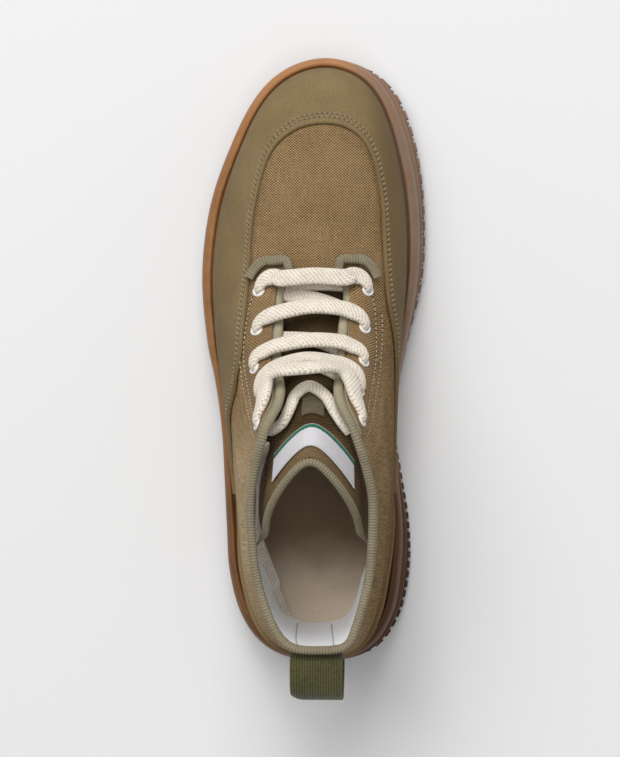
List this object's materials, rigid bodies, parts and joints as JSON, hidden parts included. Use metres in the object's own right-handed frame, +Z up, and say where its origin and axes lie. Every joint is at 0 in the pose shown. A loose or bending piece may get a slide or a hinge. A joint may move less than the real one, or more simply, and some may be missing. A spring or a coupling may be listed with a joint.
{
  "type": "lace-up ankle boot",
  "caption": "Left lace-up ankle boot with a canvas upper, smooth toe guard, ribbed collar binding, flat laces, heel pull loop and lugged gum sole.",
  "frame": {"origin": "on the floor, under the middle of the boot's bounding box", "axes": "+Z up, +Y from heel to toe, +X towards the foot's inner (medial) side"},
  "size_m": [0.1129, 0.3118, 0.1602],
  "materials": {
    "gum_rubber": "satin, slightly translucent gum rubber",
    "gum_tread": "matt gum rubber",
    "footbed": "beige cloth footbed with brown specks",
    "khaki_canvas": "matt brown-khaki cotton canvas",
    "olive_guard": "smooth satin olive",
    "ribbed_tape": "ribbed olive tape",
    "tongue_canvas": "matt canvas",
    "bare_label": "white woven tape with a green edge",
    "eyelet_metal": "white enamel",
    "lace_cotton": "natural white flat woven cotton",
    "loop_webbing": "dark olive ribbed webbing"
  },
  "bodies": {
    "root": {"outsole": "gum_tread", "midsole": "gum_rubber", "insole": "footbed", "upper": "khaki_canvas", "mudguard": "olive_guard", "heel_counter": "olive_guard", "eyestay_lateral": "khaki_canvas", "eyestay_medial": "khaki_canvas", "collar_binding": "ribbed_tape", "tongue": "tongue_canvas", "tongue_binding": "ribbed_tape", "tongue_label": "bare_label", "eyelet_lateral_1": "eyelet_metal", "eyelet_lateral_2": "eyelet_metal", "eyelet_lateral_3": "eyelet_metal", "eyelet_lateral_4": "eyelet_metal", "eyelet_lateral_5": "eyelet_metal", "eyelet_medial_1": "eyelet_metal", "eyelet_medial_2": "eyelet_metal", "eyelet_medial_3": "eyelet_metal", "eyelet_medial_4": "eyelet_metal", "eyelet_medial_5": "eyelet_metal", "lace_bar_1": "lace_cotton", "lace_bar_2": "lace_cotton", "lace_bar_3": "lace_cotton", "lace_bar_4": "lace_cotton", "lace_bar_5": "lace_cotton", "lace_inner_run": "lace_cotton", "lace_end_lateral": "lace_cotton", "pull_loop": "loop_webbing"}
  },
  "joints": []
}
